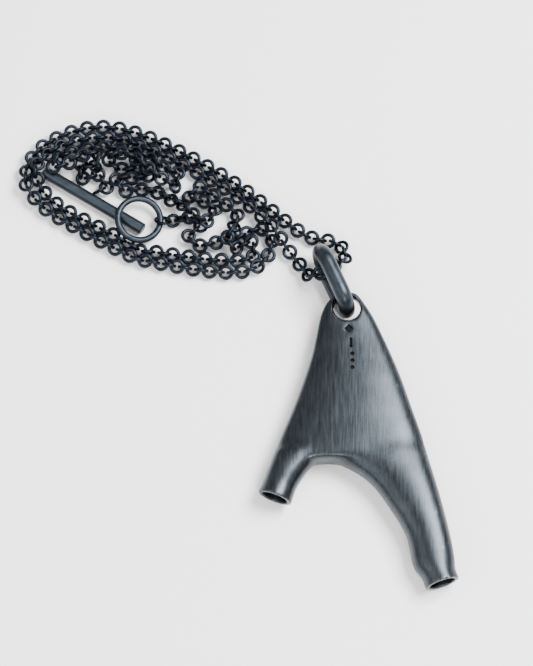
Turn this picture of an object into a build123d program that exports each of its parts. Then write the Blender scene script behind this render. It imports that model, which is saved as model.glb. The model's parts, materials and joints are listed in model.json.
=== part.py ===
"""Pendant ocarina: a hollow two-legged vessel on a bail, with a long cable chain and a toggle clasp.

The ocarina lies face up on its leg ends and on the bail. +Y runs from the legs to the eye, +Z is up,
and the floor is z = 0. All sizes are in millimetres.
"""

from build123d import *
import math
import os

import numpy as np

os.makedirs("parts", exist_ok=True)

# ---- driving dimensions -------------------------------------------------------------------------

# Bail: a stadium of round rod that stands on edge
BAIL_ROD = 4.0
BAIL_BEND = 4.5  # radius of each end, to the rod's centre
BAIL_REACH = 7.0  # between the centres of its two ends
BAIL_HEADING = 113.7  # degrees from +X, from the eye towards the chain
BAIL_LIFT = 75.0  # degrees that it swings up from its rest

# Ocarina: where the bail's rod goes through the eye, and the lie of the vessel's mid-plane there
EYE = (-2.25, 26.65)
EYE_HEIGHT = 6.2
SLOPE_X, SLOPE_Y = 0.018, 0.034
EYE_HOLE = 6.6
WALL = 1.05
LEG_END = 8.4
BORE = 6.3

# Windway block in the long leg, and the window behind it
BLOCK_SETBACK = 2.4
BLOCK_LENGTH = 3.6
BLOCK_FIT = 0.02  # radial room to the bore
WINDWAY = 1.3
WINDWAY_WIDTH = 4.0
WINDOW_WIDTH, WINDOW_LENGTH = 4.2, 4.5
WINDOW_SETBACK = 8.5  # from the long leg's end to the window's near edge

# Punched marks under the eye
MARK_DEPTH = 0.25
MARK_CLEARANCE = 2.0
MARK_DIAMOND = (-5.6, 2.45)  # distance from the eye, height of the front's crown there
MARK_DASH = (-9.3, 2.74)
MARK_DOTS = ((-12.2, 3.0), (-14.0, 3.15), (-15.8, 3.31))

# Chain: round links of round wire
WIRE = 0.74
LINK_RADIUS = 1.5  # to the wire's centre
PITCH = 2.06
LINKS_PER_PIECE = 25
LEAN = 20.0  # degrees that the flat links lean towards the front
TWIST = 12.0  # degrees that the links of the tangle roll either way
RING_END_ROLL = 26.0  # degrees more that the first link leans, beside the ring's own link
GAP = 0.14  # clearance that settling keeps between strands

# Toggle clasp
BAR_DIAMETER = 3.0
BAR_ENDS = ((-77.2, 64.9), (-52.4, 49.5))
BAR_CHAMFER = 0.25
RING_RADIUS = 5.3  # to the wire's centre
RING_WIRE = 1.6
RING_CENTRE = (-53.3, 51.6, 2.95)
RING_TILT = 11.0  # degrees, the side over the bar is the higher one
RING_LINK_RADIUS = 1.9
RING_LINK_REACH = 0.6  # from the ring's wire to the link's middle
RING_LINK_ROLL = 130.0  # degrees from the ring's plane to the link's

# ---- places worked out from them ----------------------------------------------------------------

BAIL_WAY = Vector(math.cos(math.radians(BAIL_HEADING)), math.sin(math.radians(BAIL_HEADING)), 0)
BAIL_SIDE = Vector(BAIL_WAY.Y, -BAIL_WAY.X, 0)
BAIL_HEIGHT = BAIL_BEND + BAIL_ROD / 2
EYE_PIVOT = Vector(EYE[0], EYE[1], BAIL_HEIGHT) + BAIL_WAY * BAIL_BEND
CHAIN_PIVOT = EYE_PIVOT + BAIL_WAY * BAIL_REACH

VESSEL = Plane(
    origin=(EYE[0], EYE[1], EYE_HEIGHT),
    x_dir=(1, 0, SLOPE_X),
    z_dir=(-SLOPE_X, -SLOPE_Y, 1),
)

BAR_MIDDLE = Vector(*[(a + b) / 2 for a, b in zip(*BAR_ENDS)], BAR_DIAMETER / 2)
BAR_LENGTH = math.dist(*BAR_ENDS)
BAR_WAY = Vector(*[(b - a) / BAR_LENGTH for a, b in zip(*BAR_ENDS)], 0)
BAR_SIDE = Vector(-BAR_WAY.Y, BAR_WAY.X, 0)
BAR_EYE = BAR_MIDDLE + BAR_SIDE * (BAR_DIAMETER / 2 + LINK_RADIUS - 0.15) + Vector(0, 0, 0.5)

RING = Plane(
    origin=RING_CENTRE,
    x_dir=BAR_WAY * math.cos(math.radians(RING_TILT)) - Vector(0, 0, math.sin(math.radians(RING_TILT))),
    z_dir=BAR_WAY * math.sin(math.radians(RING_TILT)) + Vector(0, 0, math.cos(math.radians(RING_TILT))),
)


# ---- the chain's route, from the bail to each end of the clasp -----------------------------------

RING_HALF = (
    (-6.9, 37.2, 6.2), (-4.5, 38.2, 6.2), (-2.6, 39.9, 5.4), (-2, 42.6, 3.8), (-3.4, 45.3, 2.4),
    (-6.6, 46.9, 1.9), (-9.7, 45.8, 1.9), (-13.2, 47.9, 1.9), (-17.8, 52, 1.9), (-23, 56.5, 1.9),
    (-28.3, 60.8, 1.9), (-33.5, 64.4, 1.9), (-39.1, 67.8, 1.9), (-44.8, 70.9, 1.9),
    (-50.4, 73.9, 1.9), (-55.8, 76.3, 1.9), (-60.7, 77.6, 1.9), (-65.1, 77.6, 1.9),
    (-69.5, 76.5, 1.9), (-73.9, 74.6, 1.9), (-78.0, 72.1, 1.9), (-81, 68.9, 1.9),
    (-82.5, 65.1, 1.9), (-82.3, 61, 1.9), (-80.3, 57.2, 1.9), (-76.9, 54.2, 1.9), (-72.4, 51.7, 1.9),
    (-67.5, 49.2, 1.9), (-62.1, 45.6, 1.9), (-56.2, 42.6, 1.9), (-49.7, 40.6, 1.9), (-43, 39.3, 1.9),
    (-36.4, 38.1, 1.9), (-31.3, 37.7, 1.9), (-26.9, 37.7, 1.9), (-23.2, 39.3, 1.9),
    (-21, 42.7, 1.9), (-19.8, 46.1, 1.8), (-20.7, 49, 1.8), (-23.4, 50.3, 1.9), (-26.1, 48.4, 1.9),
    (-29.1, 46.9, 1.9), (-32.8, 46.1, 1.9), (-36.7, 45.3, 1.9), (-39.8, 45.3, 1.9),
    (-41.6, 47.1, 1.9), (-40.4, 49.3, 1.9), (-38.2, 50.4, 1.9), (-38.6, 52.6, 1.9),
    (-40.9, 52.4, 1.8), (-43, 51.8, 1.8), (-45, 51.74, 1.6),
)
BAR_HALF = (
    (-9, 36.1, 6.2), (-11, 35.2, 5.2), (-12.2, 37.5, 3.2), (-13.9, 40.5, 2.2), (-16.3, 43.5, 1.9),
    (-18.8, 45.8, 4.8), (-21, 48.7, 4.8), (-23, 52.6, 2.6), (-26.1, 56.3, 1.9), (-30.1, 59.1, 1.9),
    (-35.4, 62.5, 1.9), (-41.1, 65.8, 1.9), (-46.7, 69, 1.9), (-52.4, 71.7, 1.9),
    (-57.3, 74, 1.9), (-61.4, 74.9, 1.9), (-65.3, 74.8, 1.9), (-69.7, 73.5, 1.9),
    (-73.9, 71.6, 1.9), (-77.3, 69.1, 1.9), (-79.6, 65.8, 1.9), (-79.6, 61.5, 1.9),
    (-77.5, 58, 1.9), (-73.9, 55.2, 1.9), (-69, 52.6, 1.9), (-64.1, 50.6, 1.9),
    (-59.4, 47.3, 1.9), (-54, 44.8, 1.9), (-48.4, 43.3, 1.9), (-42.6, 42.2, 1.9),
    (-36.9, 41.4, 1.9), (-31.8, 40.9, 1.9), (-27.9, 40.9, 1.9), (-24.4, 42.2, 1.9),
    (-23.7, 44.7, 2.2), (-25.9, 46.2, 2.4), (-28.3, 44.7, 2.2), (-31, 44.1, 2.4),
    (-31.8, 45.9, 4.6), (-30.8, 48.6, 4.4), (-28.8, 51.2, 2.2), (-28.8, 53.6, 1.9),
    (-31, 55.5, 1.9), (-33.7, 57.3, 1.9), (-36.2, 59.4, 1.9), (-38.6, 60.9, 1.9),
    (-40.5, 60.1, 1.9), (-41.1, 57.9, 1.9), (-39.9, 57.2, 2.2), (-37.3, 57, 2.6),
    (-34.9, 55.5, 3.2), (-34.5, 52.3, 4), (-36.7, 50, 4.6), (-39.4, 50.9, 5.2), (-41.2, 53.6, 5),
    (-43.6, 56.6, 3.2), (-46.2, 58.3, 2), (-48.9, 59.1, 1.9), (-51.4, 60.4, 1.9),
    (-54.1, 60.4, 1.9), (-56.9, 59.8, 1.9), (-59.4, 60.6, 1.9), (-59.6, 62.8, 1.9),
    (-57.3, 63.4, 1.9), (-54.3, 63, 1.9),
    (-51.4, 63.3, 1.9), (-50.7, 65.3, 1.9), (-53.4, 65.9, 1.9), (-56.3, 65.7, 1.9),
    (-58.8, 65.8, 2), (-60.9, 66.8, 2.6), (-60.6, 68.7, 3.6), (-58.2, 69.2, 4.6),
    (-55.4, 68.1, 5),
    (-52.4, 65.4, 5.1), (-49.7, 63.2, 5), (-47.2, 61.7, 3.8), (-44.9, 60.5, 2.6),
    (-42.8, 61.4, 1.9), (-43.1, 63.5, 1.9), (-45.6, 64.7, 1.9), (-48.4, 66.4, 1.9),
    (-51.7, 68.9, 1.9), (-55, 70.4, 1.9), (-58.2, 71, 1.9), (-61.7, 71.6, 1.9),
    (-65.1, 71.4, 1.9), (-68.3, 70.6, 1.9), (-71.3, 69.6, 2.2), (-73.3, 69.5, 3.1),
    (-75.1, 68.8, 3.6), (-75.9, 67.2, 4.3), (-74.6, 65.8, 4.6), (-72.2, 65.4, 4.5), (-69.6, 66.7, 4.2),
    (-67.2, 68.3, 4.4), (-64.6, 68.8, 4.8), (-62.4, 67.2, 4.8), (-62.9, 64.9, 4.2),
    (-65.3, 64.1, 3.6), (-67.7, 64.9, 3.1), (-69.8, 64, 2.6),
    (-69, 62.3, 2.1), (-66, 62.2, 2), (-63.9, 63.5, 2),
    (-61.9, 63.2, 2), (-61.9, 61.3, 2),
)


def soft_curve(points, steps=24):
    """A quadratic B-spline with these control points, as a dense line of points."""
    points = np.array(points, float)
    middles = (points[1:] + points[:-1]) / 2
    middles[0], middles[-1] = points[0], points[-1]
    t = np.linspace(0, 1, steps, endpoint=False)[:, None]
    spans = [
        (1 - t) ** 2 * start + 2 * t * (1 - t) * corner + t * t * end
        for start, corner, end in zip(middles[:-1], points[1:-1], middles[1:])
    ]
    return np.vstack([*spans, points[-1:]])


def evenly_spaced(line, step):
    """Points along a line, about one step apart."""
    way = np.concatenate([[0], np.cumsum(np.linalg.norm(np.diff(line, axis=0), axis=1))])
    marks = np.linspace(0, way[-1], round(way[-1] / step) + 1)
    return np.stack([np.interp(marks, way, line[:, axis]) for axis in range(3)], axis=1)


def unit(vectors):
    """Each row at length 1."""
    return vectors / np.linalg.norm(vectors, axis=-1, keepdims=True)


def link_frames(centres, roll):
    """Each link's way along the chain, its side and its normal: flat and upright links in turn."""
    way = unit(np.vstack([centres[1:2] - centres[:1], centres[2:] - centres[:-2], centres[-1:] - centres[-2:-1]]))
    lean = math.radians(LEAN)
    across = unit(np.cross((0, -math.sin(lean), math.cos(lean)), way))
    up = np.cross(way, across)
    turn = (roll + math.pi / 2 * (np.arange(len(centres)) % 2))[:, None]
    return way, across * np.cos(turn) - up * np.sin(turn), up * np.cos(turn) + across * np.sin(turn)


def to_circle(points, centre, normal, radius):
    """The shortest way from a circle's line to each point."""
    reach = points - centre
    height = np.sum(reach * normal, axis=-1, keepdims=True) * normal
    return points - (centre + radius * unit(reach - height))


def settle(centres, roll, held, obstacles, rounds=1000, samples=20):
    """Lets the chain find room: strands push each other and the clasp away, and keep their pitch."""
    home, centres = centres, centres.copy()
    free = np.ones((len(centres), 1))
    free[list(held)] = 0
    angle = np.linspace(0, 2 * math.pi, samples, endpoint=False)[None, :, None]
    solid_points, solid_room = obstacles
    for turn in range(rounds):
        calm = turn < 0.7 * rounds
        way, side, normal = link_frames(centres, roll)
        push = np.zeros_like(centres)

        # links against links
        wires = centres[:, None] + LINK_RADIUS * (np.cos(angle) * way[:, None] + np.sin(angle) * side[:, None])
        apart = np.linalg.norm(centres[:, None] - centres[None], axis=2)
        one, other = np.where(np.triu(apart < 2 * LINK_RADIUS + WIRE + GAP, 1))
        gaps = to_circle(wires[one], centres[other][:, None], normal[other][:, None], LINK_RADIUS)
        size = np.linalg.norm(gaps, axis=2)
        nearest = size.argmin(axis=1)
        row = np.arange(len(one))
        size, gap = size[row, nearest], gaps[row, nearest]
        tight = size < WIRE + GAP
        move = 0.5 * ((WIRE + GAP - size) / size)[tight, None] * gap[tight]
        np.add.at(push, one[tight], move)
        np.add.at(push, other[tight], -move)

        # links against the bail, the bar and the ring
        gap = to_circle(solid_points[None], centres[:, None], normal[:, None], LINK_RADIUS)
        size = np.linalg.norm(gap, axis=2)
        short = solid_room + WIRE / 2 - size
        worst = short.argmax(axis=1)
        row = np.arange(len(centres))
        move = np.maximum(short[row, worst], 0) / size[row, worst]
        push -= move[:, None] * gap[row, worst]

        centres += 0.7 * np.clip(push, -0.25, 0.25) * free
        for _ in range(8):
            for start in (0, 1):
                a = np.arange(start, len(centres) - 1, 2)
                step = centres[a + 1] - centres[a]
                length = np.linalg.norm(step, axis=1, keepdims=True)
                pull = (length - np.clip(length, PITCH - 0.04, PITCH + 0.03)) / length
                pull = pull / np.maximum(free[a] + free[a + 1], 1)
                centres[a] += step * pull * free[a]
                centres[a + 1] -= step * pull * free[a + 1]
        ease = np.zeros_like(centres)
        ease[1:-1] = (centres[2:] + centres[:-2]) / 2 - centres[1:-1]
        centres += (0.1 if calm else 0.03) * ease * free + (0.01 if calm else 0.003) * (home - centres) * free
        centres[:, 2:] -= (0.01 if calm else 0) * free
        lowest = LINK_RADIUS * np.sqrt(np.maximum(0, 1 - normal[:, 2] ** 2)) + WIRE / 2 + 0.02
        centres[:, 2] = np.where(free[:, 0] > 0, np.maximum(centres[:, 2], lowest), centres[:, 2])
    return centres


def clasp_and_bail_room():
    """Points along the wires that the chain keeps clear of, and how far from each it stays."""
    points, room = [], []
    ring_side = Vector(RING.y_dir)
    for k in range(32):
        angle = 2 * math.pi * k / 32
        out = RING.x_dir * math.cos(angle) + ring_side * math.sin(angle)
        points.append(tuple(RING.origin + out * RING_RADIUS))
        room.append(RING_WIRE / 2 + GAP)
    for k in range(31):
        points.append(tuple(BAR_MIDDLE + BAR_WAY * (BAR_LENGTH * (k / 30 - 0.5))))
        room.append(BAR_DIAMETER / 2 + GAP)
    for swing in range(0, int(BAIL_LIFT) + 1, 25):
        lie = math.radians(swing)
        along = BAIL_WAY * -math.cos(lie) + Vector(0, 0, math.sin(lie))
        above = BAIL_WAY * math.sin(lie) + Vector(0, 0, math.cos(lie))
        for k in range(32):
            angle = 2 * math.pi * k / 32
            reach = BAIL_REACH if math.cos(angle) > 0 else 0
            out = along * (reach + BAIL_BEND * math.cos(angle)) + above * BAIL_BEND * math.sin(angle)
            points.append(tuple(CHAIN_PIVOT + out))
            room.append(BAIL_ROD / 2 + GAP)
        for k in range(1, 5):
            for side in (-BAIL_BEND, BAIL_BEND):
                points.append(tuple(CHAIN_PIVOT + along * (BAIL_REACH * k / 5) + above * side))
                room.append(BAIL_ROD / 2 + GAP)
    return np.array(points), np.array(room)


def lay_chain():
    """Every link's centre, way and normal from the ring's end to the bar's eye, and the bail's link."""
    ring_half = evenly_spaced(soft_curve(RING_HALF), PITCH)
    bar_half = evenly_spaced(soft_curve([RING_HALF[0], *BAR_HALF, tuple(BAR_EYE)]), PITCH)
    centres = np.vstack([ring_half[::-1], bar_half[1:]])
    count, thread = len(centres), len(ring_half) - 1
    number = np.arange(count)
    tangled = np.clip((thread - number - 85) / 15, 0, 1) + np.clip((number - thread - 78) / 20, 0, 1)
    tangled = tangled * np.clip((count - 1 - number) / 8, 0, 1) * np.clip(number / 8, 0, 1)
    roll = math.radians(TWIST) * tangled * (np.sin(0.17 * number) + 0.5 * np.sin(0.37 * number + 1))
    roll -= math.radians(RING_END_ROLL) * np.clip(1 - number / 6, 0, 1)
    centres = settle(centres, roll, (0, thread, count - 1), clasp_and_bail_room())
    way, _, normal = link_frames(centres, roll)
    return centres, way, normal, thread


# ---- the ocarina's vessel -----------------------------------------------------------------------

# Cross-sections as distance from the eye, left edge, right edge and half the thickness
BODY_SECTIONS = (
    (4.1, -1.3, 1.9, 1.2), (3.5, -2.9, 2.8, 1.75), (1.9, -4.7, 4.0, 2.05), (-1.5, -6.4, 6.1, 2.2),
    (-6.4, -7.5, 8.4, 2.5), (-12.2, -8.9, 11.0, 3.0), (-19.0, -11.2, 13.7, 3.6),
    (-27.0, -14.2, 16.3, 4.0), (-34.5, -17.2, 18.6, 4.2), (-38.6, -18.8, 19.7, 4.25),
)
LONG_LEG_SECTIONS = (
    (-35.5, -5.0, 18.9, 4.1), (-38.4, -3.6, 19.65, 4.25), (-41.0, 1.2, 20.4, 4.25),
    (-45.6, 6.6, 21.7, 4.25), (-52.0, 10.9, 23.3, 4.25), (-58.0, 13.9, 24.6, 4.2),
)
SHORT_LEG_SECTIONS = ((-35.5, -17.7, -4.5, 4.1), (-38.4, -18.7, -7.6, 4.25))
LONG_LEG = Plane(origin=(22.2, -68.9, 0), x_dir=(0.949, 0.316, 0), z_dir=(0.316, -0.949, 0))
SHORT_LEG = Plane(origin=(-17.7, -47.55, 0), x_dir=(0.936, -0.351, 0), z_dir=(-0.351, -0.936, 0))
LONG_PIPE, SHORT_PIPE = 3.0, 4.0  # straight round lengths outside at the legs' ends
LONG_BORE, SHORT_BORE = 7.0, 6.0  # straight round lengths inside
CHAMBER_FOOT = (-37.3, -18.3, 19.2, 4.22)  # the chamber's lowest cross-section above the arch
CHAMBER_STEP = 0.2  # the chamber is this much narrower than the bore where they meet
CAVITY_TOP = -9.0  # the chamber begins at the first cross-section past this
SQUARENESS = 2.5  # 2 is an ellipse


def section(left, right, half, inset=0.0, squareness=SQUARENESS):
    """A rounded cross-section's outline, as one closed curve."""
    middle, a, b = (left + right) / 2, (right - left) / 2 - inset, half - inset
    points = []
    for k in range(16):
        angle = math.pi * (k + 0.5) / 8  # keeps the surface's seam off the parting plane
        c, s = math.cos(angle), math.sin(angle)
        x = math.copysign(abs(c) ** (2 / squareness), c)
        y = math.copysign(abs(s) ** (2 / squareness), s)
        points.append((middle + a * x, b * y))
    Spline(*points, periodic=True)


def limb(rows, inset=0.0):
    """One stretch of the vessel, lofted through its cross-sections."""
    with BuildPart() as stretch:
        for distance, left, right, half in rows:
            with BuildSketch(Plane(origin=(0, distance, 0), x_dir=(1, 0, 0), z_dir=(0, -1, 0))):
                with BuildLine():
                    section(left, right, half, inset)
                make_face()
        loft()
    return stretch.part


def leg(rows, mouth, pipe, inset=0.0):
    """A leg: lofted down to its round end, which is a straight pipe."""
    with BuildPart() as stretch:
        for distance, left, right, half in rows:
            with BuildSketch(Plane(origin=(0, distance, 0), x_dir=(1, 0, 0), z_dir=(0, -1, 0))):
                with BuildLine():
                    section(left, right, half, inset)
                make_face()
        with BuildSketch(mouth.offset(-pipe)) as round_end:
            with BuildLine():
                step = CHAMBER_STEP if inset else 0
                section(-LEG_END / 2, LEG_END / 2, LEG_END / 2, inset + step, squareness=2)
            make_face()
        loft()
        if not inset:
            extrude(round_end.sketch, amount=pipe)
    return stretch.part


def chamber():
    """The space inside the vessel, down to where the bores of the legs begin."""
    rows = [row for row in BODY_SECTIONS[:-1] if row[0] < CAVITY_TOP] + [CHAMBER_FOOT]
    with BuildPart() as space:
        add(limb(rows, WALL))
        add(leg(LONG_LEG_SECTIONS, LONG_LEG, LONG_BORE, WALL))
        add(leg(SHORT_LEG_SECTIONS, SHORT_LEG, SHORT_BORE, WALL))
    return space.part


def vessel():
    """The whole hollow vessel in its own plane, before it is parted into two shells."""
    with BuildPart() as hollow:
        add(limb(BODY_SECTIONS))
        add(leg(LONG_LEG_SECTIONS, LONG_LEG, LONG_PIPE))
        add(leg(SHORT_LEG_SECTIONS, SHORT_LEG, SHORT_PIPE))
        add(chamber(), mode=Mode.SUBTRACT)
        for mouth, bore in ((LONG_LEG, LONG_BORE), (SHORT_LEG, SHORT_BORE)):
            with BuildSketch(mouth):
                Circle(BORE / 2)
            extrude(amount=-bore, mode=Mode.SUBTRACT)
        Hole(EYE_HOLE / 2)
    return hollow.part


def window():
    """The sound window in the long leg's back wall, cut square on the side where the air comes out."""
    place = LONG_LEG.offset(-WINDOW_SETBACK - WINDOW_LENGTH / 2)
    with BuildPart() as cut:
        with BuildSketch(place):
            with Locations((0, -LEG_END / 2)):
                Rectangle(WINDOW_WIDTH, LEG_END - BORE)
        extrude(amount=WINDOW_LENGTH / 2, both=True)
    return cut.part


def marks():
    """Plain punched marks on the front below the eye: a diamond, a dash and a row of dots."""
    with BuildPart() as punches:
        for distance, crown in MARK_DOTS:
            with BuildSketch(Plane.XY.offset(crown - MARK_DEPTH)):
                with Locations((1.2, distance)):
                    Circle(0.42)
        with BuildSketch(Plane.XY.offset(MARK_DIAMOND[1] - MARK_DEPTH)):
            with Locations((0.4, MARK_DIAMOND[0])):
                Rectangle(1.5, 1.5, rotation=45)
        with BuildSketch(Plane.XY.offset(MARK_DASH[1] - MARK_DEPTH)):
            with Locations((0.9, MARK_DASH[0])):
                Rectangle(0.6, 2.4)
        extrude(amount=MARK_CLEARANCE)
    return punches.part


def shell(side):
    """One half of the vessel, above (1) or below (-1) its mid-plane, at its place in the frame."""
    with BuildPart() as half:
        add(vessel())
        add(window() if side < 0 else marks(), mode=Mode.SUBTRACT)
        split(bisect_by=Plane.XY, keep=Keep.TOP if side > 0 else Keep.BOTTOM)
    return VESSEL.location * half.part


def plug_in_bore():
    """The plug in the long leg's bore, with a flat duct past its back side."""
    with BuildPart() as plug:
        with BuildSketch(LONG_LEG.offset(-BLOCK_SETBACK)):
            Circle(BORE / 2 - BLOCK_FIT)
            with Locations((0, -BORE / 2)):
                Rectangle(WINDWAY_WIDTH, 2 * WINDWAY, mode=Mode.SUBTRACT)
        extrude(amount=-BLOCK_LENGTH)
    return VESSEL.location * plug.part


def bail_loop():
    """The bail: a stadium of round rod in the upright plane that runs from the eye to the chain."""
    with BuildPart() as loop:
        with BuildLine(Plane(origin=EYE_PIVOT, x_dir=BAIL_WAY, z_dir=BAIL_SIDE)) as path:
            Line((0, -BAIL_BEND), (BAIL_REACH, -BAIL_BEND))
            ThreePointArc((BAIL_REACH, -BAIL_BEND), (BAIL_REACH + BAIL_BEND, 0), (BAIL_REACH, BAIL_BEND))
            Line((BAIL_REACH, BAIL_BEND), (0, BAIL_BEND))
            ThreePointArc((0, BAIL_BEND), (-BAIL_BEND, 0), (0, -BAIL_BEND))
        with BuildSketch(Plane(origin=path.line @ 0, z_dir=path.line % 0)):
            Circle(BAIL_ROD / 2)
        sweep()
    return loop.part


def bar_rod():
    """The toggle bar's rod, with its ends chamfered."""
    with BuildPart() as rod:
        with BuildSketch(Plane(origin=BAR_MIDDLE - BAR_WAY * BAR_LENGTH / 2, z_dir=BAR_WAY)):
            Circle(BAR_DIAMETER / 2)
        extrude(amount=BAR_LENGTH)
        chamfer(rod.edges().filter_by(GeomType.CIRCLE), BAR_CHAMFER)
    return rod.part


def round_links(places, radius=LINK_RADIUS, wire=WIRE):
    """Closed round links, one in each plane."""
    with BuildPart() as links:
        with Locations(*places):
            Torus(radius, wire / 2)
    return links.part


def ring_link_place():
    """Where the ring's own link hangs on the ring, on the side towards the chain."""
    out = (RING.x_dir * RING.x_dir.X + Vector(RING.y_dir) * Vector(RING.y_dir).X).normalized()
    tangent = RING.z_dir.cross(out)
    lean = math.radians(RING_LINK_ROLL)
    along = tangent * math.cos(lean) + RING.z_dir * math.sin(lean)
    hang = RING.origin + out * (RING_RADIUS + RING_LINK_REACH)
    return Plane(origin=hang, x_dir=out, z_dir=out.cross(along)), tangent


def chain_pieces(places, name):
    """The links of one half of the chain, in pieces of nearly equal length."""
    count = math.ceil(len(places) / LINKS_PER_PIECE)
    bounds = [round(len(places) * k / count) for k in range(count + 1)]
    return {
        f"{name}_{k + 1:02d}": places[bounds[k]:bounds[k + 1]]
        for k in range(count)
    }


# ---- the pieces ---------------------------------------------------------------------------------

with BuildPart() as front_shell:
    add(shell(1))
front_shell.part.label = "front_shell"
export_step(front_shell.part, "parts/front_shell.step")

with BuildPart() as back_shell:
    add(shell(-1))
back_shell.part.label = "back_shell"
export_step(back_shell.part, "parts/back_shell.step")

with BuildPart() as windway_block:
    add(plug_in_bore())
windway_block.part.label = "windway_block"
export_step(windway_block.part, "parts/windway_block.step")

with BuildPart() as bail:
    add(bail_loop())
bail.part.label = "bail"
export_step(bail.part, "parts/bail.step")

with BuildPart() as toggle_bar:
    add(bar_rod())
toggle_bar.part.label = "toggle_bar"
export_step(toggle_bar.part, "parts/toggle_bar.step")

with BuildPart() as toggle_ring:
    with Locations(RING):
        Torus(RING_RADIUS, RING_WIRE / 2)
toggle_ring.part.label = "toggle_ring"
export_step(toggle_ring.part, "parts/toggle_ring.step")

ring_link_plane, ring_tangent = ring_link_place()
with BuildPart() as ring_link:
    with Locations(ring_link_plane):
        Torus(RING_LINK_RADIUS, WIRE / 2)
ring_link.part.label = "ring_link"
export_step(ring_link.part, "parts/ring_link.step")

centres, ways, normals, thread = lay_chain()
link_places = [
    Plane(origin=tuple(centre), x_dir=tuple(way), z_dir=tuple(normal))
    for centre, way, normal in zip(centres, ways, normals)
]

with BuildPart() as bar_eye:
    with Locations(link_places[-1]):
        Torus(LINK_RADIUS, WIRE / 2)
    add(bar_rod(), mode=Mode.SUBTRACT)
bar_eye.part.label = "bar_eye"
export_step(bar_eye.part, "parts/bar_eye.step")

halves = {
    **chain_pieces(link_places[:thread + 1][::-1], "ring_chain"),
    **chain_pieces(link_places[thread + 1:-1], "bar_chain"),
}
for name, places in halves.items():
    with BuildPart() as chain_piece:
        add(round_links(places))
    chain_piece.part.label = name
    export_step(chain_piece.part, f"parts/{name}.step")
    print(name, "links:", len(places), "solids:", len(chain_piece.part.solids()))

steps = [math.dist(a, b) for a, b in zip(centres[:-1], centres[1:])]
print("ring side of the chain:", round(sum(steps[:thread]), 1), "mm")
print("bar side of the chain:", round(sum(steps[thread:]), 1), "mm")
for label, point in (
    ("eye pivot", EYE_PIVOT), ("chain pivot", CHAIN_PIVOT), ("bail side", BAIL_SIDE),
    ("bar eye", BAR_EYE), ("bar way", BAR_WAY), ("ring tangent", ring_tangent),
    ("ring hinge", ring_link_plane.origin - ring_link_plane.x_dir * RING_LINK_REACH),
    ("vessel front", VESSEL.z_dir), ("vessel x", VESSEL.x_dir), ("vessel y", VESSEL.y_dir),
):
    print(label, tuple(round(value, 5) for value in point))
for mouth in (LONG_LEG, SHORT_LEG):
    place = VESSEL.from_local_coords(mouth.origin)
    print("leg mouth", tuple(place), "outwards", tuple(VESSEL.from_local_coords(mouth.origin + mouth.z_dir) - place))
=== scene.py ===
"""Pendant ocarina in darkened silver on its bail, with a blackened link chain and a toggle clasp.

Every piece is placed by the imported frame. The chain's links are modelled once and set where the
frame's links lie. The vessel is a smoothed copy of its two shells. The bail, the clasp and the
windway block keep the frame's shapes and get silver finishes.
"""

import json
import logging
import math
from dataclasses import dataclass, field
from enum import Enum
from typing import Any, Iterable

import bpy
import numpy as np
from mathutils import Matrix, Vector

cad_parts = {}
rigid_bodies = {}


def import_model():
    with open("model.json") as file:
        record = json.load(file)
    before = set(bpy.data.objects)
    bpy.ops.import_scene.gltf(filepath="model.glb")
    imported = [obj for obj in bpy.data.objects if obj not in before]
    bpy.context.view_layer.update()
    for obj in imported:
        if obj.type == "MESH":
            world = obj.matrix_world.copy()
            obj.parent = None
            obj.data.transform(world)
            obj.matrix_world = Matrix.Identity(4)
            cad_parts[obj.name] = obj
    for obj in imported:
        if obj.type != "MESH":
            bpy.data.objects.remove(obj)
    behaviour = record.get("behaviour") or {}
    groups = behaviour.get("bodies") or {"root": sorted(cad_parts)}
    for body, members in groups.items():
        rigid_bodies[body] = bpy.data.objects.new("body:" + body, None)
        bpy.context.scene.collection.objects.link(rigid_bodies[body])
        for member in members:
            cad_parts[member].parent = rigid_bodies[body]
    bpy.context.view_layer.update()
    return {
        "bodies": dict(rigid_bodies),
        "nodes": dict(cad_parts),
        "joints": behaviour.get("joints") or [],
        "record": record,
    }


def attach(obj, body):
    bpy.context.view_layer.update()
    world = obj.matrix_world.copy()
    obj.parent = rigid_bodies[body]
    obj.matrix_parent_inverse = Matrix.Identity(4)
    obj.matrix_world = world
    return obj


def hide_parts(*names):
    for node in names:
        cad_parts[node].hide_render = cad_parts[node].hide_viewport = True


LOG = logging.getLogger("ocarina")
MM = 0.001
Point = tuple[float, float, float]
Colour = tuple[float, float, float, float]

WELD = 2e-6  # in metres: points of the frame's loose triangles nearer than this are one
EVEN: Point = (1.0, 1.0, 1.0)  # a grain with no direction


class Body(Enum):
    """The moving bodies that the remade pieces ride on."""

    CHAIN = "chain"
    OCARINA = "ocarina"


class Slot(Enum):
    """Names of the record's material slots for the vessel and the chain; the script does not use them.
    """

    VESSEL = "vessel_silver"
    CHAIN = "chain_silver"


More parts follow.
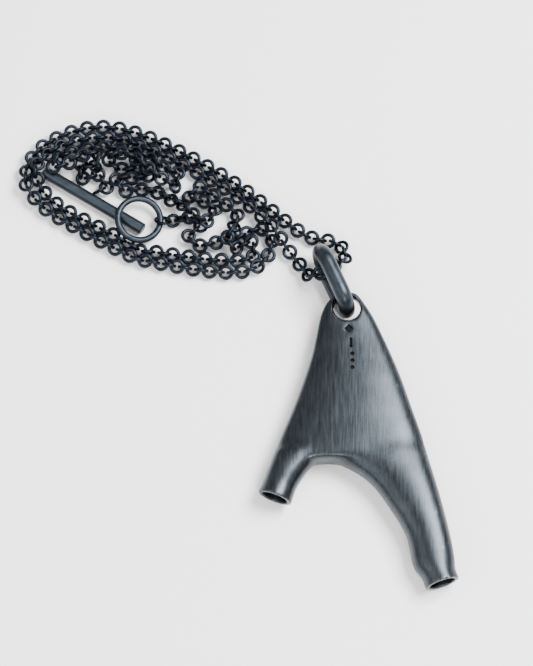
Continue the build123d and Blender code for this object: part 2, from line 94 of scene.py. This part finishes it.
# The chain's route in millimetres, from the bail outwards
RING_SIDE: tuple[Point, ...] = (
    (-6.9, 37.2, 6.2), (-4.5, 38.2, 6.2), (-2.6, 39.9, 5.4), (-2, 42.6, 3.8), (-3.4, 45.3, 2.4),
    (-6.6, 46.9, 1.9), (-9.7, 45.8, 1.9), (-13.2, 47.9, 1.9), (-17.8, 52, 1.9), (-23, 56.5, 1.9),
    (-28.3, 60.8, 1.9), (-33.5, 64.4, 1.9), (-39.1, 67.8, 1.9), (-44.8, 70.9, 1.9),
    (-50.4, 73.9, 1.9), (-55.8, 76.3, 1.9), (-60.7, 77.6, 1.9), (-65.1, 77.6, 1.9),
    (-69.5, 76.5, 1.9), (-73.9, 74.6, 1.9), (-78.0, 72.1, 1.9), (-81, 68.9, 1.9),
    (-82.5, 65.1, 1.9), (-82.3, 61, 1.9), (-80.3, 57.2, 1.9), (-76.9, 54.2, 1.9), (-72.4, 51.7, 1.9),
    (-67.5, 49.2, 1.9), (-62.1, 45.6, 1.9), (-56.2, 42.6, 1.9), (-49.7, 40.6, 1.9), (-43, 39.3, 1.9),
    (-36.4, 38.1, 1.9), (-31.3, 37.7, 1.9), (-26.9, 37.7, 1.9), (-23.2, 39.3, 1.9),
    (-21, 42.7, 1.9), (-19.8, 46.1, 1.8), (-20.7, 49, 1.8), (-23.4, 50.3, 1.9), (-26.1, 48.4, 1.9),
    (-29.1, 46.9, 1.9), (-32.8, 46.1, 1.9), (-36.7, 45.3, 1.9), (-39.8, 45.3, 1.9),
    (-41.6, 47.1, 1.9), (-40.4, 49.3, 1.9), (-38.2, 50.4, 1.9), (-38.6, 52.6, 1.9),
    (-40.9, 52.4, 1.8), (-43, 51.8, 1.8), (-45, 51.74, 1.6),
)
BAR_SIDE: tuple[Point, ...] = (
    (-6.9, 37.2, 6.2),
    (-9, 36.1, 6.2), (-11, 35.2, 5.2), (-12.2, 37.5, 3.2), (-13.9, 40.5, 2.2), (-16.3, 43.5, 1.9),
    (-18.8, 45.8, 4.8), (-21, 48.7, 4.8), (-23, 52.6, 2.6), (-26.1, 56.3, 1.9), (-30.1, 59.1, 1.9),
    (-35.4, 62.5, 1.9), (-41.1, 65.8, 1.9), (-46.7, 69, 1.9), (-52.4, 71.7, 1.9),
    (-57.3, 74, 1.9), (-61.4, 74.9, 1.9), (-65.3, 74.8, 1.9), (-69.7, 73.5, 1.9),
    (-73.9, 71.6, 1.9), (-77.3, 69.1, 1.9), (-79.6, 65.8, 1.9), (-79.6, 61.5, 1.9),
    (-77.5, 58, 1.9), (-73.9, 55.2, 1.9), (-69, 52.6, 1.9), (-64.1, 50.6, 1.9),
    (-59.4, 47.3, 1.9), (-54, 44.8, 1.9), (-48.4, 43.3, 1.9), (-42.6, 42.2, 1.9),
    (-36.9, 41.4, 1.9), (-31.8, 40.9, 1.9), (-27.9, 40.9, 1.9), (-24.4, 42.2, 1.9),
    (-23.7, 44.7, 2.2), (-25.9, 46.2, 2.4), (-28.3, 44.7, 2.2), (-31, 44.1, 2.4),
    (-31.8, 45.9, 4.6), (-30.8, 48.6, 4.4), (-28.8, 51.2, 2.2), (-28.8, 53.6, 1.9),
    (-31, 55.5, 1.9), (-33.7, 57.3, 1.9), (-36.2, 59.4, 1.9), (-38.6, 60.9, 1.9),
    (-40.5, 60.1, 1.9), (-41.1, 57.9, 1.9), (-39.9, 57.2, 2.2), (-37.3, 57, 2.6),
    (-34.9, 55.5, 3.2), (-34.5, 52.3, 4), (-36.7, 50, 4.6), (-39.4, 50.9, 5.2), (-41.2, 53.6, 5),
    (-43.6, 56.6, 3.2), (-46.2, 58.3, 2), (-48.9, 59.1, 1.9), (-51.4, 60.4, 1.9),
    (-54.1, 60.4, 1.9), (-56.9, 59.8, 1.9), (-59.4, 60.6, 1.9), (-59.6, 62.8, 1.9),
    (-57.3, 63.4, 1.9), (-54.3, 63, 1.9),
    (-51.4, 63.3, 1.9), (-50.7, 65.3, 1.9), (-53.4, 65.9, 1.9), (-56.3, 65.7, 1.9),
    (-58.8, 65.8, 2), (-60.9, 66.8, 2.6), (-60.6, 68.7, 3.6), (-58.2, 69.2, 4.6),
    (-55.4, 68.1, 5),
    (-52.4, 65.4, 5.1), (-49.7, 63.2, 5), (-47.2, 61.7, 3.8), (-44.9, 60.5, 2.6),
    (-42.8, 61.4, 1.9), (-43.1, 63.5, 1.9), (-45.6, 64.7, 1.9), (-48.4, 66.4, 1.9),
    (-51.7, 68.9, 1.9), (-55, 70.4, 1.9), (-58.2, 71, 1.9), (-61.7, 71.6, 1.9),
    (-65.1, 71.4, 1.9), (-68.3, 70.6, 1.9), (-71.3, 69.6, 2.2), (-73.3, 69.5, 3.1),
    (-75.1, 68.8, 3.6), (-75.9, 67.2, 4.3), (-74.6, 65.8, 4.6), (-72.2, 65.4, 4.5), (-69.6, 66.7, 4.2),
    (-67.2, 68.3, 4.4), (-64.6, 68.8, 4.8), (-62.4, 67.2, 4.8), (-62.9, 64.9, 4.2),
    (-65.3, 64.1, 3.6), (-67.7, 64.9, 3.1), (-69.8, 64, 2.6),
    (-69, 62.3, 2.1), (-66, 62.2, 2), (-63.9, 63.5, 2),
    (-61.9, 63.2, 2), (-61.9, 61.3, 2),
    (-63.3, 59.62, 2),
)

# The vessel's mid-plane in metres: the point it passes through and its slopes along X and Y
SEAM_CENTRE = (-0.00225, 0.02665)
SEAM_HEIGHT = 0.0062
SEAM_SLOPE = (0.018, 0.034)
SEAM_LINE = (0.00003, 0.00008)  # the painted line is full up to the first height and gone at the second


class Wire:
    """A shader socket that takes part in Python arithmetic by adding Math nodes."""

    def __init__(self, bench: "Bench", socket: bpy.types.NodeSocket) -> None:
        """Holds the socket and the bench that adds its nodes."""
        self.bench = bench
        self.socket = socket

    def _with(self, operation: str, first: Any, second: Any) -> "Wire":
        """Adds one Math node on two values or wires."""
        return self.bench.add("ShaderNodeMath", {"operation": operation}, {0: first, 1: second})

    def __add__(self, other: Any) -> "Wire":
        """Sum."""
        return self._with("ADD", self, other)

    def __radd__(self, other: Any) -> "Wire":
        """Sum, reflected."""
        return self._with("ADD", other, self)

    def __sub__(self, other: Any) -> "Wire":
        """Difference."""
        return self._with("SUBTRACT", self, other)

    def __rsub__(self, other: Any) -> "Wire":
        """Difference, reflected."""
        return self._with("SUBTRACT", other, self)

    def __mul__(self, other: Any) -> "Wire":
        """Product."""
        return self._with("MULTIPLY", self, other)

    def __rmul__(self, other: Any) -> "Wire":
        """Product, reflected."""
        return self._with("MULTIPLY", other, self)


class Bench:
    """Builds one material's nodes."""

    def __init__(self, name: str) -> None:
        """Starts an empty material of that name."""
        self.material = bpy.data.materials.new(name)
        self.material.use_nodes = True
        self.tree = self.material.node_tree
        self.tree.nodes.clear()

    def node(
        self, kind: str, settings: dict[str, Any] | None = None,
        inputs: dict[int | str, Any] | None = None,
    ) -> bpy.types.Node:
        """Makes a node.

        Args:
            kind: the node's type.
            settings: its own settings, set first.
            inputs: a value or a wire for each socket.

        Returns:
            The node.
        """
        node = self.tree.nodes.new(kind)
        for name, value in (settings or {}).items():
            setattr(node, name, value)
        for name, value in (inputs or {}).items():
            if isinstance(value, Wire):
                self.tree.links.new(value.socket, node.inputs[name])
            else:
                node.inputs[name].default_value = value
        return node

    def add(
        self, kind: str, settings: dict[str, Any] | None = None,
        inputs: dict[int | str, Any] | None = None, out: int | str = 0,
    ) -> Wire:
        """Makes a node and reads one of its outputs.

        Args:
            kind: the node's type.
            settings: its own settings, set first.
            inputs: a value or a wire for each socket.
            out: the output to give back.

        Returns:
            The output as a wire.
        """
        return Wire(self, self.node(kind, settings, inputs).outputs[out])

    def surface(self, inputs: dict[int | str, Any]) -> bpy.types.Material:
        """Ends the material in one Principled shader.

        Args:
            inputs: a value or a wire for each of the shader's sockets.

        Returns:
            The finished material.
        """
        shader = self.add("ShaderNodeBsdfPrincipled", None, inputs)
        self.node("ShaderNodeOutputMaterial", None, {"Surface": shader})
        return self.material

    def grain(self, scale: Point, size: float, detail: float = 3.0, turn: float = 0.0) -> Wire:
        """Noise on Object coordinates.

        Args:
            scale: how fine the noise is along each axis.
            size: how fine it is over all.
            detail: its octaves.
            turn: the pattern's turn about Z, in degrees.

        Returns:
            The noise as a wire.
        """
        place = self.add("ShaderNodeTexCoord", out="Object")
        spin = self.add(
            "ShaderNodeMapping", {"vector_type": "POINT"},
            {"Vector": place, "Rotation": (0.0, 0.0, math.radians(turn)), "Scale": scale},
        )
        return self.add("ShaderNodeTexNoise", None, {"Vector": spin, "Scale": size, "Detail": detail})

    def blend(self, mask: Any, low: Any, high: Any) -> Wire:
        """Mixes two colours by a mask."""
        return self.add(
            "ShaderNodeMix", {"data_type": "RGBA"}, {0: mask, 6: low, 7: high}, out=2,
        )

    def ramp(self, wire: Wire, low: float, high: float) -> Wire:
        """Stretches a wire's range from low to high over 0 to 1."""
        return self.add(
            "ShaderNodeMapRange", {"clamp": True},
            {"Value": wire, "From Min": low, "From Max": high},
        )


@dataclass(frozen=True)
class SilverFinish:
    """A darkened silver: its tones, grain and gloss.

    The cloud is a slow change of tone and the fine grain a rapid one. The edges that stand out
    are worn bright, and each link of the chain can be lighter by its own amount.
    """

    name: str
    dark: Colour
    light: Colour
    rough: tuple[float, float]
    grain_scale: Point
    grain_size: float
    turn: float = 0.0
    bump: float = 0.00002
    tint_attribute: str = ""
    wear: float = 0.35
    seam: bool = False
    cloud_size: float = 160.0
    fine_size: float = 2600.0
    brush_share: float = 0.62
    cloud_share: float = 0.38
    tone_range: tuple[float, float] = (0.34, 0.66)
    edge_range: tuple[float, float] = (0.52, 0.6)
    seam_share: float = 0.8
    seam_colour: Colour = (0.004, 0.005, 0.006, 1.0)
    brighter: float = 2.1
    tint_share: float = 0.3
    fine_gloss: float = 0.35
    gloss_range: tuple[float, float] = (0.3, 1.0)
    brush_relief: float = 0.75
    fine_relief: float = 0.25
    relief_strength: float = 0.5

    def parting(self, bench: Bench) -> Wire:
        """A hairline where the vessel's two shells meet.

        Args:
            bench: the material's bench.

        Returns:
            A mask that is 1 on the line.
        """
        place = bench.add("ShaderNodeTexCoord", out="Object")
        apart = bench.add("ShaderNodeSeparateXYZ", None, {"Vector": place})
        x, y, z = (Wire(bench, socket) for socket in apart.socket.node.outputs)
        rise_across = SEAM_SLOPE[0] * (x - SEAM_CENTRE[0])
        rise_along = SEAM_SLOPE[1] * (y - SEAM_CENTRE[1])
        height = z - SEAM_HEIGHT - rise_across - rise_along
        size = bench.add("ShaderNodeMath", {"operation": "ABSOLUTE"}, {0: height})
        return 1.0 - bench.ramp(size, *SEAM_LINE)

    def make(self) -> bpy.types.Material:
        """Builds the material.

        Returns:
            The finished material.
        """
        bench = Bench(self.name)
        brush = bench.grain(self.grain_scale, self.grain_size, detail=4.0, turn=self.turn)
        cloud = bench.grain(EVEN, self.cloud_size)
        fine = bench.grain(EVEN, self.fine_size, detail=2.0)
        mask = bench.ramp(self.brush_share * brush + self.cloud_share * cloud, *self.tone_range)
        colour = bench.blend(mask, self.dark, self.light)
        edge = bench.add("ShaderNodeNewGeometry", out="Pointiness")
        worn = bench.ramp(edge, *self.edge_range) * self.wear
        if self.seam:
            colour = bench.blend(self.parting(bench) * self.seam_share, colour, self.seam_colour)
        bright = tuple(min(1.0, self.brighter * part) for part in self.light[:3]) + (1.0,)
        colour = bench.blend(worn, colour, bright)
        if self.tint_attribute:
            tone = bench.add(
                "ShaderNodeAttribute", {"attribute_name": self.tint_attribute}, out="Fac",
            )
            colour = bench.blend(tone * self.tint_share, colour, bright)
        gloss = bench.ramp(brush + self.fine_gloss * fine, *self.gloss_range)
        height = self.brush_relief * brush + self.fine_relief * fine
        normal = bench.add(
            "ShaderNodeBump", None,
            {"Height": height, "Strength": self.relief_strength, "Distance": self.bump},
        )
        return bench.surface({
            "Base Color": colour,
            "Metallic": 1.0,
            "Roughness": self.rough[0] + (self.rough[1] - self.rough[0]) * gloss,
            "Normal": normal,
        })


BRUSHED = SilverFinish(
    "brushed_dark_silver", (0.026, 0.031, 0.036, 1.0), (0.048, 0.056, 0.063, 1.0), (0.26, 0.42),
    (26.0, 1.6, 26.0), 95.0, turn=-3.0, wear=0.3, bump=0.00003, seam=True,
)
INSIDE = SilverFinish(
    "block_dark_silver", (0.012, 0.014, 0.017, 1.0), (0.035, 0.04, 0.046, 1.0), (0.4, 0.55),
    (4.0, 4.0, 4.0), 120.0,
)
PATINA = SilverFinish(
    "black_patina", (0.003, 0.004, 0.005, 1.0), (0.01, 0.012, 0.014, 1.0), (0.5, 0.7),
    EVEN, 300.0, wear=0.0,
)
ROD = SilverFinish(
    "bail_dark_silver", (0.017, 0.022, 0.027, 1.0), (0.045, 0.055, 0.066, 1.0), (0.3, 0.46),
    (3.0, 3.0, 9.0), 110.0, wear=0.2,
)
MATT = SilverFinish(
    "clasp_dark_silver", (0.014, 0.019, 0.025, 1.0), (0.036, 0.045, 0.055, 1.0), (0.36, 0.52),
    (2.0, 9.0, 9.0), 120.0, turn=31.8, wear=0.5,
)
BLACKENED = SilverFinish(
    "chain_black_silver", (0.004, 0.006, 0.009, 1.0), (0.014, 0.018, 0.024, 1.0), (0.26, 0.42),
    EVEN, 420.0, bump=0.00001, tint_attribute="tone", wear=0.15,
)


def clear_selection() -> None:
    """Leaves object mode and deselects everything."""
    if bpy.context.object is not None and bpy.context.object.mode != "OBJECT":
        bpy.ops.object.mode_set(mode="OBJECT")
    bpy.ops.object.select_all(action="DESELECT")


def choose(objects: Iterable[bpy.types.Object]) -> None:
    """Selects just these objects and makes the last one active."""
    clear_selection()
    for item in objects:
        item.select_set(True)
        bpy.context.view_layer.objects.active = item


def free_copy(node: bpy.types.Object) -> bpy.types.Object:
    """Copies a frame piece with its own mesh, free of its body and unmoved.

    Args:
        node: the frame's piece.

    Returns:
        The copy.
    """
    copy = node.copy()
    copy.data = copy.data.copy()
    copy.parent = None
    bpy.context.scene.collection.objects.link(copy)
    copy.matrix_world = Matrix.Identity(4)
    return copy


def show(piece: bpy.types.Object, finish: bpy.types.Material) -> None:
    """Gives every slot of a piece one finish."""
    if not piece.material_slots:
        piece.data.materials.append(finish)
    for place in piece.material_slots:
        place.material = finish


@dataclass
class LinkChain:
    """One side of the chain: round links where the frame's links lie.

    The wire is drawn thicker than the frame's, so neighbouring links cut into each other a little.
    """

    name: str
    prefix: str
    route: tuple[Point, ...]
    length: float
    with_nodes: tuple[str, ...]
    link_radius: float = 1.5 * MM
    wire: float = 0.94 * MM
    around: int = 16
    section: int = 6
    spread: float = 0.6
    seed: int = 7
    far_point: float = 1.25
    nodes: list[str] = field(default_factory=list)

    def places(self, frame: dict[str, Any]) -> list[tuple[np.ndarray, np.ndarray]]:
        """Notes the frame's pieces of this side and finds each link in copies of them.

        Args:
            frame: the loaded frame.

        Returns:
            A centre and a normal for each link.
        """
        self.nodes = sorted(name for name in frame["nodes"] if name.startswith(self.prefix))
        found = []
        farthest = self.far_point * (self.link_radius + self.wire)
        for name in self.nodes:
            choose([free_copy(frame["nodes"][name])])
            bpy.ops.object.mode_set(mode="EDIT")
            bpy.ops.mesh.select_all(action="SELECT")
            bpy.ops.mesh.remove_doubles(threshold=WELD)
            bpy.ops.mesh.separate(type="LOOSE")
            bpy.ops.object.mode_set(mode="OBJECT")
            for ring in list(bpy.context.selected_objects):
                spots = np.empty(3 * len(ring.data.vertices))
                ring.data.vertices.foreach_get("co", spots)
                spots = spots.reshape(-1, 3)
                middle = (spots.max(axis=0) + spots.min(axis=0)) / 2
                centre = spots.mean(axis=0)
                axes = np.linalg.svd(spots - centre, full_matrices=False)[2]
                found.append((centre, axes[2]))
                if np.linalg.norm(spots - middle, axis=1).max() > farthest:
                    LOG.warning("%s holds links that touch", name)
                bpy.data.objects.remove(ring)
        return found

    def one_link(self) -> bpy.types.Object:
        """Models one round link.

        Returns:
            The link, centred on the origin with its normal along Z.
        """
        clear_selection()
        bpy.ops.mesh.primitive_torus_add(
            major_radius=self.link_radius, minor_radius=self.wire / 2,
            major_segments=self.around, minor_segments=self.section,
        )
        link = bpy.context.object
        bpy.ops.object.shade_smooth()
        tone = link.data.attributes.new("tone", "FLOAT", "POINT")
        tone.data.foreach_set("value", [0.0] * len(link.data.vertices))
        return link

    def build(self, frame: dict[str, Any]) -> bpy.types.Object:
        """Sets a copy of the link at every place and joins them.

        Args:
            frame: the loaded frame.

        Returns:
            The side of the chain as one piece.
        """
        chance = np.random.default_rng(self.seed)
        pattern = self.one_link()
        links = []
        for centre, normal in self.places(frame):
            link = pattern.copy()
            link.data = pattern.data.copy()
            bpy.context.scene.collection.objects.link(link)
            turn = Vector(normal).to_track_quat("Z", "Y").to_matrix().to_4x4()
            spin = Matrix.Rotation(chance.uniform(0, 2 * math.pi), 4, "Z")
            link.data.transform(Matrix.Translation(Vector(centre)) @ turn @ spin)
            shade = float(chance.uniform(0, self.spread))
            link.data.attributes["tone"].data.foreach_set("value", [shade] * len(link.data.vertices))
            links.append(link)
        bpy.data.objects.remove(pattern)
        choose(links)
        bpy.ops.object.join()
        chain = bpy.context.object
        chain.name = self.name
        LOG.info("%s: %d links", self.name, len(links))
        return chain

    def centreline(self) -> list[Point]:
        """Reads close points from the route's smooth spline.

        Returns:
            Points along the route, in metres.
        """
        curve = bpy.data.curves.new(self.name + "_route", "CURVE")
        curve.dimensions = "3D"
        spline = curve.splines.new("NURBS")
        spline.points.add(len(self.route) - 1)
        for place, spot in zip(spline.points, self.route):
            place.co = (*(part * MM for part in spot), 1.0)
        spline.order_u = 3
        spline.use_endpoint_u = True
        spline.resolution_u = 8
        holder = bpy.data.objects.new(self.name + "_route", curve)
        bpy.context.scene.collection.objects.link(holder)
        bpy.context.view_layer.update()
        mesh = bpy.data.meshes.new_from_object(holder)
        line = [tuple(vertex.co) for vertex in mesh.vertices]
        bpy.data.objects.remove(holder)
        return line

    def dress(self, chain: bpy.types.Object, frame: dict[str, Any], finish: bpy.types.Material) -> None:
        """Args:
            chain: the joined links.
            frame: the loaded frame; not used.
            finish: the chain's material.
        """
        show(chain, finish)
        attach(chain, Body.CHAIN.value)
        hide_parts(*self.nodes)
        self.centreline()


@dataclass(frozen=True)
class Mouth:
    """The open end of a leg in the vessel's own plane: its middle in millimetres and its way out."""

    middle: tuple[float, float]
    way: tuple[float, float]

    def beyond(self, own: np.ndarray) -> np.ndarray:
        """How far each point lies past the mouth, in millimetres; less than nothing inside."""
        across = (own[:, 0] - self.middle[0]) * self.way[0]
        return across + (own[:, 1] - self.middle[1]) * self.way[1]


@dataclass(frozen=True)
class Punch:
    """A punch for a plain mark, in millimetres in the vessel's own plane."""

    place: Point
    corners: int
    radius: float
    stretch: float = 1.0


@dataclass(frozen=True)
class Vessel:
    """The two-legged vessel, worked smooth where its legs flow out of the body.

    Lengths are in metres, and those in the vessel's own plane are in millimetres.
    """

    voxel: float = 0.3 * MM
    passes: int = 130
    factor: float = 0.6
    levels: int = 10
    long_mouth: Mouth = Mouth((22.2, -68.9), (0.316, -0.949))
    short_mouth: Mouth = Mouth((-17.7, -47.55), (-0.351, -0.936))
    short_side: float = -7.0  # the short leg lies to the left of this
    mouth_kept: float = 0.7  # this far in from a mouth nothing is smoothed
    mouth_fade: float = 2.5
    eye_kept: float = -8.0  # above this the least smoothing holds
    eye_fade: float = 12.0
    eye_least: float = 0.06
    sharp: float = 40.0  # degrees
    mark_depth: float = 0.5 * MM
    marks: tuple[Punch, ...] = (
        Punch((1.2, -12.2, 3.0), 20, 0.52), Punch((1.2, -14.0, 3.15), 20, 0.52),
        Punch((1.2, -15.8, 3.31), 20, 0.52), Punch((0.4, -5.6, 2.45), 4, 1.15),
        Punch((0.9, -9.3, 2.74), 4, 0.5, stretch=3.6),
    )
    punch_height: float = 2.0

    def place(self) -> Matrix:
        """The vessel's own plane in the frame: X across, Y towards the eye, Z out of the front."""
        front = Vector((-SEAM_SLOPE[0], -SEAM_SLOPE[1], 1.0)).normalized()
        across = Vector((1.0, 0.0, SEAM_SLOPE[0])).normalized()
        along = front.cross(across)
        turn = Matrix((across, along, front)).transposed().to_4x4()
        return Matrix.Translation((*SEAM_CENTRE, SEAM_HEIGHT)) @ turn

    def walls(self, frame: dict[str, Any]) -> bpy.types.Object:
        """Joins copies of the two shells and gives them one even skin.

        Args:
            frame: the loaded frame.

        Returns:
            The vessel's walls.
        """
        choose([free_copy(frame["nodes"][name]) for name in ("front_shell", "back_shell")])
        bpy.ops.object.join()
        vessel = bpy.context.object
        vessel.name = "vessel"
        bpy.ops.object.mode_set(mode="EDIT")
        bpy.ops.mesh.select_all(action="SELECT")
        bpy.ops.mesh.remove_doubles(threshold=WELD)
        bpy.ops.object.mode_set(mode="OBJECT")
        bpy.ops.object.modifier_add(type="REMESH")
        vessel.modifiers[0].mode = "VOXEL"
        vessel.modifiers[0].voxel_size = self.voxel
        bpy.ops.object.modifier_apply(modifier=vessel.modifiers[0].name)
        return vessel

    def smooth(self, vessel: bpy.types.Object) -> None:
        """Works the surface smooth, least at the eye and the legs' mouths.

        Args:
            vessel: the vessel's walls.
        """
        spots = np.empty(3 * len(vessel.data.vertices))
        vessel.data.vertices.foreach_get("co", spots)
        inverse = np.array(self.place().inverted())
        own = (spots.reshape(-1, 3) @ inverse[:3, :3].T + inverse[:3, 3]) / MM
        short_leg = own[:, 0] < self.short_side
        beyond_short = np.where(short_leg, self.short_mouth.beyond(own), -np.inf)
        beyond = np.maximum(self.long_mouth.beyond(own), beyond_short)
        by_mouth = np.clip((-beyond - self.mouth_kept) / self.mouth_fade, 0.0, 1.0)
        by_eye = np.clip((self.eye_kept - own[:, 1]) / self.eye_fade, self.eye_least, 1.0)
        weight = by_mouth * by_eye
        group = vessel.vertex_groups.new(name="work")
        for level in range(1, self.levels + 1):
            chosen = np.flatnonzero(np.ceil(weight * self.levels) == level)
            group.add(chosen.tolist(), level / self.levels, "REPLACE")
        choose([vessel])
        bpy.ops.object.modifier_add(type="SMOOTH")
        vessel.modifiers[0].factor = self.factor
        vessel.modifiers[0].iterations = self.passes
        vessel.modifiers[0].vertex_group = "work"
        bpy.ops.object.modifier_apply(modifier=vessel.modifiers[0].name)
        bpy.ops.object.shade_smooth()

    def punches(self) -> bpy.types.Object:
        """Shapes the punches of the plain marks under the eye.

        Returns:
            The punches as one piece, at their places.
        """
        cutters = []
        sink = Vector((0.0, 0.0, self.punch_height / 2 * MM - self.mark_depth))
        for mark in self.marks:
            clear_selection()
            bpy.ops.mesh.primitive_cylinder_add(
                vertices=mark.corners, radius=mark.radius * MM, depth=self.punch_height * MM,
            )
            punch = bpy.context.object
            turn = Matrix.Rotation(math.pi / 4 if mark.stretch > 1 else 0.0, 4, "Z")
            stretch = Matrix.Diagonal((1.0, mark.stretch, 1.0, 1.0))
            lift = Matrix.Translation(Vector(mark.place) * MM + sink)
            punch.data.transform(self.place() @ lift @ stretch @ turn)
            cutters.append(punch)
        choose(cutters)
        bpy.ops.object.join()
        return bpy.context.object

    def build(
        self, frame: dict[str, Any], finish: bpy.types.Material, patina: bpy.types.Material,
    ) -> bpy.types.Object:
        """Makes the worked vessel and gives it its finish.

        Args:
            frame: the loaded frame.
            finish: the vessel's material.
            patina: the darker finish inside the punched marks.

        Returns:
            The vessel.
        """
        vessel = self.walls(frame)
        self.smooth(vessel)
        vessel.data.materials.clear()
        vessel.data.materials.append(finish)
        vessel.data.polygons.foreach_set("material_index", [0] * len(vessel.data.polygons))
        punches = self.punches()
        show(punches, patina)
        choose([vessel])
        bpy.ops.object.modifier_add(type="BOOLEAN")
        vessel.modifiers[0].object = punches
        vessel.modifiers[0].operation = "DIFFERENCE"
        vessel.modifiers[0].material_mode = "TRANSFER"
        bpy.ops.object.modifier_apply(modifier=vessel.modifiers[0].name)
        bpy.data.objects.remove(punches)
        bpy.ops.object.shade_smooth_by_angle(angle=math.radians(self.sharp))
        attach(vessel, Body.OCARINA.value)
        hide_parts("front_shell", "back_shell")
        LOG.info("vessel: %d faces", len(vessel.data.polygons))
        return vessel


@dataclass(frozen=True)
class FramePieces:
    """Pieces that keep the frame's shape, and the finish that each gets."""

    finishes: dict[str, SilverFinish]

    def dress(self, frame: dict[str, Any]) -> None:
        """Gives each node its finish.

        Args:
            frame: the loaded frame.
        """
        made: dict[str, bpy.types.Material] = {}
        for name, finish in self.finishes.items():
            if finish.name not in made:
                made[finish.name] = finish.make()
            show(frame["nodes"][name], made[finish.name])
            LOG.info("%s: %s", name, finish.name)


@dataclass(frozen=True)
class Lamp:
    """A square soft light: its place in millimetres, its side in metres and its power in watts."""

    name: str
    place: Point
    size: float
    power: float
    aim: Point


@dataclass(frozen=True)
class Studio:
    """The floor, the lights and the camera.

    Lengths are in millimetres, but for the floor's, which are in metres.
    """

    target: Point = (-21.85, 22.8, 0.0)
    elevation: float = 70.0
    distance: float = 900.0
    view_height: float = 163.2
    sensor: float = 36.0
    floor_size: float = 4.0
    floor_drop: float = 0.0001
    paper_grain: float = 60.0
    paper_rough: float = 0.8
    paper_shine: float = 0.2
    paper_low: Colour = (0.9, 0.9, 0.9, 1.0)
    paper_high: Colour = (0.92, 0.92, 0.92, 1.0)
    room_colour: Colour = (0.97, 0.975, 1.0, 1.0)
    room_strength: float = 0.8

    def floor(self) -> None:
        """Lays the pale floor."""
        clear_selection()
        bpy.ops.mesh.primitive_plane_add(size=self.floor_size, location=(0.0, 0.0, -self.floor_drop))
        floor = bpy.context.object
        floor.name = "floor"
        bpy.ops.object.transform_apply(location=True, rotation=False, scale=False)
        bench = Bench("pale_floor")
        paper = bench.grain(EVEN, self.paper_grain, detail=2.0)
        show(floor, bench.surface({
            "Base Color": bench.blend(paper, self.paper_low, self.paper_high),
            "Roughness": self.paper_rough,
            "Specular IOR Level": self.paper_shine,
        }))

    def hang(self, lamp: Lamp) -> None:
        """Hangs one soft light.

        Args:
            lamp: the light.
        """
        light = bpy.data.lights.new(lamp.name, "AREA")
        light.size = lamp.size
        light.energy = lamp.power
        holder = bpy.data.objects.new(lamp.name, light)
        bpy.context.scene.collection.objects.link(holder)
        spot = Vector(lamp.place) * MM
        holder.location = spot
        holder.rotation_euler = (Vector(lamp.aim) * MM - spot).to_track_quat("-Z", "Y").to_euler()

    def lights(self) -> None:
        """Hangs the key light, the fill and a low light past the legs, and sets the room's light."""
        self.hang(Lamp("key", (300.0, 140.0, 560.0), size=0.34, power=13.5, aim=self.target))
        self.hang(Lamp("fill", (-420.0, -260.0, 520.0), size=0.7, power=3.5, aim=self.target))
        self.hang(Lamp("strip", (60.0, -300.0, 300.0), size=0.14, power=1.1, aim=(0.0, 0.0, 0.0)))
        world = bpy.data.worlds.new("room")
        world.use_nodes = True
        background = world.node_tree.nodes["Background"]
        background.inputs["Color"].default_value = self.room_colour
        background.inputs["Strength"].default_value = self.room_strength
        bpy.context.scene.world = world

    def camera(self) -> None:
        """Sets the camera at its elevation with a long lens."""
        lens = bpy.data.cameras.new("camera")
        lens.sensor_fit = "VERTICAL"
        lens.sensor_height = self.sensor
        lens.lens = self.sensor * self.distance / self.view_height
        lens.clip_start = 0.01
        holder = bpy.data.objects.new("camera", lens)
        bpy.context.scene.collection.objects.link(holder)
        lift = math.radians(self.elevation)
        way = Vector((0.0, -math.cos(lift), math.sin(lift)))
        holder.location = (Vector(self.target) + way * self.distance) * MM
        holder.rotation_euler = (math.pi / 2 - lift, 0.0, 0.0)
        bpy.context.scene.camera = holder


def main() -> None:
    """Loads the frame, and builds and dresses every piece."""
    logging.basicConfig(level=logging.INFO)
    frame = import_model()
    studio = Studio()
    studio.camera()
    studio.floor()
    studio.lights()
    blackened = BLACKENED.make()
    sides = (
        LinkChain("ring_side_chain", "ring_chain", RING_SIDE, 0.216, ("toggle_ring", "ring_link")),
        LinkChain("bar_side_chain", "bar_chain", BAR_SIDE, 0.348, ("toggle_bar", "bar_eye")),
    )
    for side in sides:
        side.dress(side.build(frame), frame, blackened)
    for name in ("ring_link", "bar_eye"):
        show(frame["nodes"][name], blackened)
    Vessel().build(frame, BRUSHED.make(), PATINA.make())
    FramePieces({
        "windway_block": INSIDE, "bail": ROD,
        "toggle_ring": MATT, "toggle_bar": MATT,
    }).dress(frame)


if __name__ == "__main__":
    main()
